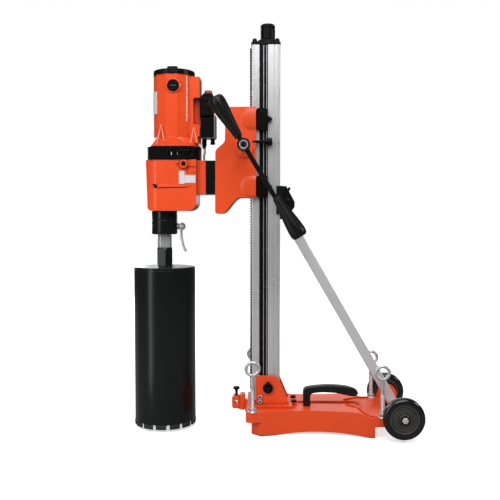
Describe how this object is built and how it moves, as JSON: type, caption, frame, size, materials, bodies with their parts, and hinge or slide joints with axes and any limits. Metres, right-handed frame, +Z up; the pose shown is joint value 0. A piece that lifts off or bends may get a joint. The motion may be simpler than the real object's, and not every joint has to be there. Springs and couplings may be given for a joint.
{
  "type": "core drill rig",
  "caption": "Electric core drill with a large barrel bit on a racked column, hand feed crank, rear brace and wheeled anchor base with levelling screws.",
  "frame": {"origin": "drill axis at the mouth of the core bit, which hangs 8 mm above the floor", "axes": "+Z up along the column, +X to the rear towards the wheels, -Y to the side with the feed crank"},
  "size_m": [0.8185, 0.352, 1.164],
  "materials": {
    "orange_enamel": "glossy orange-red enamel",
    "black_paint": "satin black paint",
    "black_steel": "black-oxide steel",
    "zinc_steel": "bright zinc plate",
    "bright_chrome": "polished",
    "anodised_aluminium": "drawn and clear anodised",
    "gear_steel": "ground and oiled",
    "bearing_bronze": "machined",
    "black_plastic": "fine moulded grain",
    "grip_plastic": "satin black",
    "red_plastic": "glossy",
    "grey_cable": "grey sheath",
    "seal_rubber": "matt",
    "wheel_rubber": "smooth solid tyre",
    "hub_plastic": "moulded disc",
    "carbon": "pressed carbon",
    "brace_paint": "light grey"
  },
  "bodies": {
    "base": {"base_casting": "orange_enamel", "foot_bracket": "orange_enamel", "foot_bolts": "black_steel", "column_pivot_bolt": "black_steel", "column_lock_screws": "zinc_steel", "carry_handle": "black_paint", "levelling_nuts": "zinc_steel", "axle": "zinc_steel", "axle_nuts": "bright_chrome", "accessory_clamp": "orange_enamel"},
    "column": {"column_profile": "anodised_aluminium", "column_foot_block": "zinc_steel", "column_rack": "black_steel", "guide_strips": "black_steel", "column_cap": "black_plastic"},
    "jack": {"jack_screw": "black_steel"},
    "brace": {"brace_tube": "brace_paint"},
    "brace_clamp": {"brace_clamp": "black_paint"},
    "brace_clamp_lever": {"brace_clamp_lever": "black_plastic"},
    "carriage": {"carriage_casting": "orange_enamel", "guide_shoes": "black_plastic", "shoe_bolts": "black_steel", "pinion_bushes": "bearing_bronze", "motor_spacer": "black_paint", "gearbox_housing": "orange_enamel", "gearbox_plug": "black_plastic", "vent_ring": "black_plastic", "motor_housing": "orange_enamel", "motor_cap": "black_plastic", "brush_caps": "black_plastic", "carbon_brushes": "carbon", "stator": "gear_steel", "shaft_bearings": "gear_steel", "water_collar": "black_paint", "water_seals": "seal_rubber", "water_valve": "zinc_steel", "switch_box": "black_plastic", "motor_cable": "grey_cable"},
    "carriage_lock": {"carriage_lock_screw": "black_plastic"},
    "crank": {"feed_pinion": "gear_steel", "crank_hub": "black_paint"},
    "crank_bar": {"crank_bar": "black_steel", "crank_grips": "grip_plastic"},
    "rotor": {"armature": "gear_steel"},
    "layshaft": {"layshaft": "gear_steel"},
    "spindle": {"spindle": "bright_chrome", "output_gear": "gear_steel", "core_bit": "black_paint"},
    "selector": {"gear_selector": "orange_enamel"},
    "valve_lever": {"valve_lever": "zinc_steel"},
    "button": {"switch_button": "red_plastic"},
    "accessory_screw": {"accessory_screw": "black_steel"},
    "levelling_1": {"levelling_screw_1": "zinc_steel"},
    "levelling_2": {"levelling_screw_2": "zinc_steel"},
    "levelling_3": {"levelling_screw_3": "zinc_steel"},
    "levelling_4": {"levelling_screw_4": "zinc_steel"},
    "wheel_near": {"wheel_near_hub": "hub_plastic", "wheel_near_tyre": "wheel_rubber"},
    "wheel_far": {"wheel_far_hub": "hub_plastic", "wheel_far_tyre": "wheel_rubber"}
  },
  "joints": [
    {"name": "column_tilt", "type": "hinge", "parent": "base", "child": "column", "pos_m": [0.303, 0, 0.114], "axis": [0, 1, 0], "range_deg": [0, 30]},
    {"name": "brace_swing", "type": "hinge", "parent": "base", "child": "brace", "pos_m": [0.672, 0, 0.057], "axis": [0, 1, 0], "range_deg": [0, 32.2]},
    {"name": "brace_clamp_slide", "type": "slide", "parent": "column", "child": "brace_clamp", "axis": [0, 0, 1], "range_m": [0, 0.204]},
    {"name": "brace_clamp_lever_turn", "type": "hinge", "parent": "brace_clamp", "child": "brace_clamp_lever", "pos_m": [0.349, 0, 0.66], "axis": [1, 0, 0], "range_deg": [-18, 18]},
    {"name": "jack_slide", "type": "slide", "parent": "column", "child": "jack", "axis": [0, 0, 1], "range_m": [0, 0.06]},
    {"name": "carriage_slide", "type": "slide", "parent": "column", "child": "carriage", "axis": [0, 0, 1], "range_m": [-0.48, 0.17]},
    {"name": "crank_spin", "type": "hinge", "parent": "carriage", "child": "crank", "pos_m": [0.237, 0, 0.798], "axis": [0, 1, 0], "range_deg": [-1834, 650]},
    {"name": "crank_bar_slide", "type": "slide", "parent": "crank", "child": "crank_bar", "axis": [-0.515, 0, 0.8572], "range_m": [-0.005, 0.145]},
    {"name": "carriage_lock_turn", "type": "hinge", "parent": "carriage", "child": "carriage_lock", "pos_m": [0.3, -0.0465, 0.817], "axis": [1, 0, 0], "range_deg": [-180, 180]},
    {"name": "spindle_spin", "type": "hinge", "parent": "carriage", "child": "spindle", "pos_m": [0, 0, 0.58], "axis": [0, 0, 1], "continuous": true},
    {"name": "layshaft_spin", "type": "hinge", "parent": "carriage", "child": "layshaft", "pos_m": [0.03062, 0.02874, 0.69], "axis": [0, 0, 1], "continuous": true},
    {"name": "rotor_spin", "type": "hinge", "parent": "carriage", "child": "rotor", "pos_m": [0.03, 0, 0.9], "axis": [0, 0, 1], "continuous": true},
    {"name": "gear_selector_turn", "type": "hinge", "parent": "carriage", "child": "selector", "pos_m": [0.064, -0.056, 0.754], "axis": [0, 1, 0], "range_deg": [-60, 60]},
    {"name": "valve_lever_turn", "type": "hinge", "parent": "carriage", "child": "valve_lever", "pos_m": [0.051, -0.014, 0.577], "axis": [0, 1, 0], "range_deg": [-90, 0]},
    {"name": "switch_button_press", "type": "slide", "parent": "carriage", "child": "button", "axis": [0, 0, -1], "range_m": [0, 0.003], "stiffness_N_per_m": 800, "springref_m": -0.001},
    {"name": "accessory_screw_slide", "type": "slide", "parent": "base", "child": "accessory_screw", "axis": [0, 0, 1], "range_m": [-0.006, 0.004]},
    {"name": "levelling_1_slide", "type": "slide", "parent": "base", "child": "levelling_1", "axis": [0, 0, 1], "range_m": [-0.045, 0.015]},
    {"name": "levelling_2_slide", "type": "slide", "parent": "base", "child": "levelling_2", "axis": [0, 0, 1], "range_m": [-0.045, 0.015]},
    {"name": "levelling_3_slide", "type": "slide", "parent": "base", "child": "levelling_3", "axis": [0, 0, 1], "range_m": [-0.045, 0.015]},
    {"name": "levelling_4_slide", "type": "slide", "parent": "base", "child": "levelling_4", "axis": [0, 0, 1], "range_m": [-0.045, 0.015]},
    {"name": "wheel_near_spin", "type": "hinge", "parent": "base", "child": "wheel_near", "pos_m": [0.672, -0.151, 0.057], "axis": [0, 1, 0], "continuous": true},
    {"name": "wheel_far_spin", "type": "hinge", "parent": "base", "child": "wheel_far", "pos_m": [0.672, 0.151, 0.057], "axis": [0, 1, 0], "continuous": true}
  ],
  "couplings": [
    {"joint": "brace_swing", "follows": "column_tilt", "ratio": 1.0717},
    {"joint": "brace_clamp_slide", "follows": "column_tilt", "m_per_rad": 0.389},
    {"joint": "crank_spin", "follows": "carriage_slide", "rad_per_m": 66.667},
    {"joint": "layshaft_spin", "follows": "spindle_spin", "ratio": -2.5},
    {"joint": "rotor_spin", "follows": "spindle_spin", "ratio": 5.7143}
  ]
}
